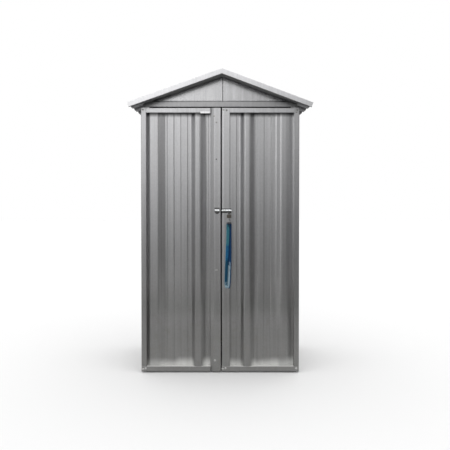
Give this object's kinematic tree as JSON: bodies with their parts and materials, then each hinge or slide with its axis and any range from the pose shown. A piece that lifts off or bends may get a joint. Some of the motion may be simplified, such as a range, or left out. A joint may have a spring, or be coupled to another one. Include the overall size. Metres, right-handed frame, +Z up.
{
  "type": "tool_shed",
  "caption": "Galvanised sheet-steel tool shed with ribbed double doors, pitched roof, barrel bolt, padlock and a hanging key lanyard",
  "frame": {"origin": "On the ground, at the centre of the roof's outline in plan (the bounding box's bottom centre)", "axes": "+Z is up, +X runs to the right as seen facing the doors, -Y is the front with the doors"},
  "size_m": [1.113, 0.812, 1.8554],
  "materials": {
    "galvanised_sheet": "dull zinc-coated ribbed sheet",
    "galvanised_frame": "dull zinc-coated folded channel",
    "galvanised_trim": "brighter zinc-coated flashing",
    "hinge_steel": "zinc-plated steel",
    "bolt_chrome": "bright plated steel",
    "padlock_brass": "dull brass body",
    "lanyard_webbing": "blue woven tape"
  },
  "bodies": {
    "shed": {"front_sill": "galvanised_frame", "left_base_rail": "galvanised_frame", "right_base_rail": "galvanised_frame", "back_base_rail": "galvanised_frame", "front_left_post": "galvanised_frame", "front_right_post": "galvanised_frame", "back_left_post": "galvanised_frame", "back_right_post": "galvanised_frame", "front_header": "galvanised_frame", "left_top_rail": "galvanised_frame", "right_top_rail": "galvanised_frame", "back_header": "galvanised_frame", "left_wall": "galvanised_sheet", "right_wall": "galvanised_sheet", "back_wall": "galvanised_sheet", "front_gable_left": "galvanised_sheet", "front_gable_right": "galvanised_sheet", "back_gable": "galvanised_sheet", "left_roof_sheet": "galvanised_sheet", "right_roof_sheet": "galvanised_sheet", "ridge_cap": "galvanised_trim", "front_left_verge": "galvanised_trim", "front_right_verge": "galvanised_trim", "back_left_verge": "galvanised_trim", "back_right_verge": "galvanised_trim", "left_post_hinges": "hinge_steel", "right_post_hinges": "hinge_steel"},
    "left_door": {"left_door_outer_stile": "galvanised_frame", "left_door_meeting_stile": "galvanised_frame", "left_door_top_rail": "galvanised_frame", "left_door_bottom_rail": "galvanised_frame", "left_door_sheet": "galvanised_sheet", "left_door_hinges": "hinge_steel", "bolt_keeper": "bolt_chrome"},
    "right_door": {"right_door_outer_stile": "galvanised_frame", "right_door_meeting_stile": "galvanised_frame", "right_door_top_rail": "galvanised_frame", "right_door_bottom_rail": "galvanised_frame", "right_door_sheet": "galvanised_sheet", "right_door_hinges": "hinge_steel", "bolt_housing": "bolt_chrome"},
    "sliding_bolt": {"bolt": "bolt_chrome", "padlock": "padlock_brass", "key_and_ring": "bolt_chrome", "lanyard": "lanyard_webbing"}
  },
  "joints": [
    {"name": "left_door_hinge", "type": "hinge", "parent": "shed", "child": "left_door", "pos_m": [-0.478, -0.2705, 0.8175], "axis": [0, 0, -1], "range_deg": [0, 90]},
    {"name": "right_door_hinge", "type": "hinge", "parent": "shed", "child": "right_door", "pos_m": [0.478, -0.2705, 0.8175], "axis": [0, 0, 1], "range_deg": [0, 90]},
    {"name": "bolt_slide", "type": "slide", "parent": "right_door", "child": "sliding_bolt", "axis": [-1, 0, 0], "range_m": [0, 0.026]}
  ]
}
